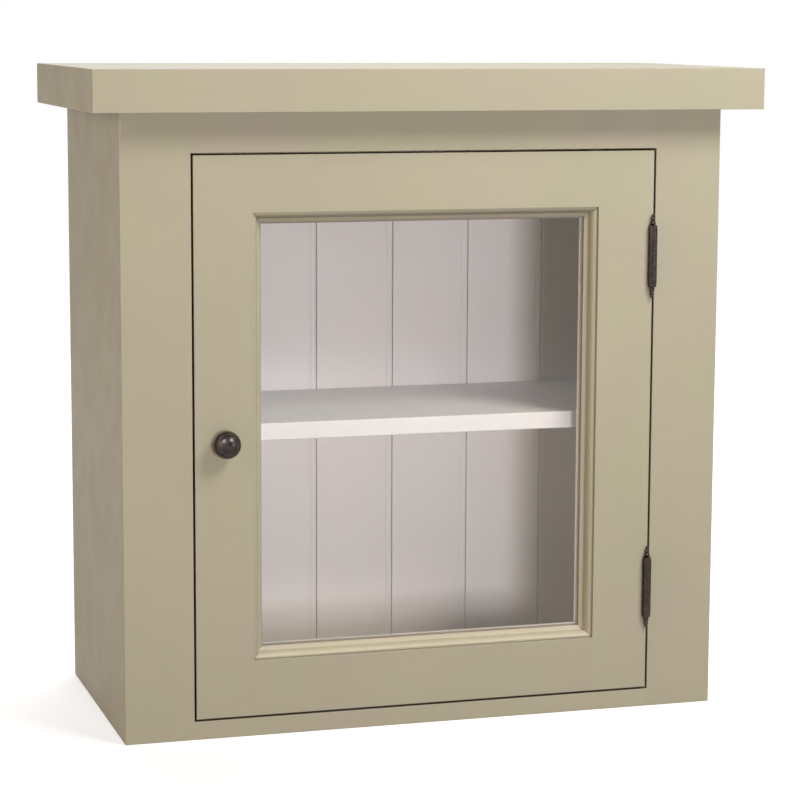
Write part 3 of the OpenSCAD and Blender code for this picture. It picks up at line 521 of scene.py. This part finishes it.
# Nodes with softened arrises: the width, the steps round the arris and the nodes
SOFTENED = [
    (1.3 * MM, 3, ["top_board"]),
    (0.9 * MM, 3, ["shelf", "catch_block"] + BATTENS),
    (0.35 * MM, 2, ["left_side", "right_side", "bottom_board"] + BACK_RAILS),
    (0.25 * MM, 2, MOULDINGS_UP + MOULDINGS_ACROSS + BEADS_UP + BEADS_ACROSS),
    (0.4 * MM, 2, ["catch_body", "catch_strike"]),
]


def dress_all():
    chip = (CHIP_AT, CHIP_REACH)
    dress(["top_board"], painted("sage_top_board", "x", 0.0, shaded_below=True))
    dress(["left_side", "right_side"],
          painted("sage_sides", "z", 2.0, seam_y=SEAM_Y, chip=chip, yellows=True))
    dress(FRAME_STILES,
          painted("sage_frame_stiles", "z", 4.0, joint=FRAME_JOINT, chip=chip, shade_tint=GAP_SHADE_TINT))
    dress(FRAME_RAILS,
          painted("sage_frame_rails", "x", 6.0, joint=FRAME_JOINT, shade_tint=GAP_SHADE_TINT))
    dress(DOOR_STILES,
          painted("sage_door_stiles", "z", 8.0, joint=DOOR_JOINT, shade_tint=GAP_SHADE_TINT))
    dress(DOOR_RAILS,
          painted("sage_door_rails", "x", 10.0, joint=DOOR_JOINT, shade_tint=GAP_SHADE_TINT))
    dress(MOULDINGS_UP, painted("sage_mouldings_up", "z", 12.0))
    dress(MOULDINGS_ACROSS, painted("sage_mouldings_across", "x", 14.0, lit_and_shaded_ledges=True))
    dress(["bottom_board"], white_paint("white_bottom_board", "x", 16.0))
    dress(["shelf"], painted("white_shelf", "x", 18.0, SHADED_SHELF_PAINT))
    dress(BACK_BOARDS, white_paint("white_back_boards", "z", 20.0, yellows=True))
    dress(BEADS_UP, white_paint("white_beads_up", "z", 22.0))
    dress(BEADS_ACROSS, white_paint("white_beads_across", "x", 24.0))
    dress(BATTENS, white_paint("white_battens", "y", 26.0))
    dress(["catch_block"], white_paint("white_catch_block", "z", 28.0))
    dress(BACK_RAILS, planed_wood("planed_rails", "x", 1.0))
    dress(["frame_dowels"], planed_wood("planed_dowels", "z", 3.0))
    dress(LEAVES + FINIALS,
          metal("turned_bronze", BRONZE, BRONZE_WORN, roughness=0.24, mottle_scale=260.0,
                wear_radius=0.4 * MM, wear_full=0.5, seed=1.0, turned=True))
    dress(BRONZE_SMALL,
          metal("antique_bronze", BRONZE, BRONZE_WORN, roughness=0.27, mottle_scale=260.0,
                wear_radius=0.6 * MM, wear_full=0.8, seed=1.0))
    dress(STEEL_SMALL,
          metal("zinc_plate", ZINC, ZINC_WORN, roughness=0.38, mottle_scale=300.0,
                wear_radius=0.3 * MM, wear_full=0.5, seed=5.0))
    dress(["catch_body"], moulded("catch_plastic", CATCH_PLASTIC, 0.5, 1.0))
    dress(["catch_magnet"], moulded("ferrite", FERRITE, 0.7, 3.0))
    dress(["glass_pane"], clear_glass("window_glass"))


def soften_all():
    for width, segments, names in SOFTENED:
        for name in names:
            soften(name, width, segments)


def make_camera():
    data = bpy.data.cameras.new("photo_camera")
    data.lens = LENS_MM
    data.sensor_width = SENSOR_MM
    camera = bpy.data.objects.new("photo_camera", data)
    bpy.context.scene.collection.objects.link(camera)
    turn = Matrix.Rotation(-CAMERA_YAW, 4, "Z")
    tilt = Matrix.Rotation(math.pi / 2 + CAMERA_PITCH, 4, "X")
    roll = Matrix.Rotation(CAMERA_ROLL, 4, "Z")
    camera.matrix_world = Matrix.Translation(CAMERA_AT) @ turn @ tilt @ roll
    bpy.context.scene.camera = camera


def make_lights():
    for name, plan in LIGHTS.items():
        data = bpy.data.lights.new(name, "AREA")
        data.size = plan["size"]
        data.energy = plan["watts"]
        data.color = plan["colour"]
        azimuth = math.radians(plan["azimuth"])
        elevation = math.radians(plan["elevation"])
        level = math.cos(elevation)
        bearing = Vector((level * math.sin(azimuth), -level * math.cos(azimuth),
                          math.sin(elevation)))
        lamp = bpy.data.objects.new(name, data)
        lamp.location = LAMPS_FACE + plan["distance"] * bearing
        lamp.rotation_euler = bearing.to_track_quat("Z", "Y").to_euler()
        lamp.visible_camera = False
        lamp.visible_diffuse = plan["lights"]
        lamp.visible_glossy = plan["shines"]
        bpy.context.scene.collection.objects.link(lamp)


def seen_directly(tree):
    """1 for rays from the camera, a reflection or a view through glass."""
    rays = add(tree, "LightPath")
    seen = maths(tree, "MAXIMUM", rays.outputs["Is Camera Ray"], rays.outputs["Is Glossy Ray"])
    return maths(tree, "MAXIMUM", seen, rays.outputs["Is Transmission Ray"])


def make_surroundings():
    """A white room: an even sky for daylight, and a pale floor that keeps the shadow."""
    world = bpy.data.worlds.new("white_room")
    world.use_nodes = True
    tree = world.node_tree
    tree.nodes.clear()
    strength = ramp(tree, seen_directly(tree), 0.0, 1.0, DAYLIGHT, 1.0)
    sky = add(tree, "Background", Color=(1, 1, 1, 1), Strength=strength)
    out = add(tree, "OutputWorld")
    tree.links.new(sky.outputs[0], out.inputs["Surface"])
    bpy.context.scene.world = world

    bpy.ops.mesh.primitive_plane_add(size=FLOOR_SIZE, location=(0, 0, -FLOOR_DROP))
    floor = bpy.context.active_object
    floor.name = "floor"
    material, tree = blank_material("pale_floor")
    away = add(tree, "VectorMath", {"operation": "LENGTH"}, i0=object_point(tree))
    glow = ramp(tree, away.outputs["Value"], GLOW_STARTS, GLOW_FULL, GLOW_NEAR, 1.0)
    pale = add(tree, "BsdfDiffuse", Color=linear(FLOOR))
    light = add(tree, "Emission", Color=(1, 1, 1, 1), Strength=glow)
    bright = add(tree, "AddShader", i0=pale.outputs[0], i1=light.outputs[0])
    bounce = add(tree, "BsdfDiffuse", Color=linear(FLOOR_BOUNCE))
    both = add(tree, "MixShader", i0=seen_directly(tree), i1=bounce.outputs[0],
               i2=bright.outputs[0])
    finish_material(tree, both.outputs[0])
    floor.data.materials.append(material)


make_camera()
make_lights()
make_surroundings()
dress_all()
soften_all()
bpy.context.scene.view_settings.view_transform = "Standard"
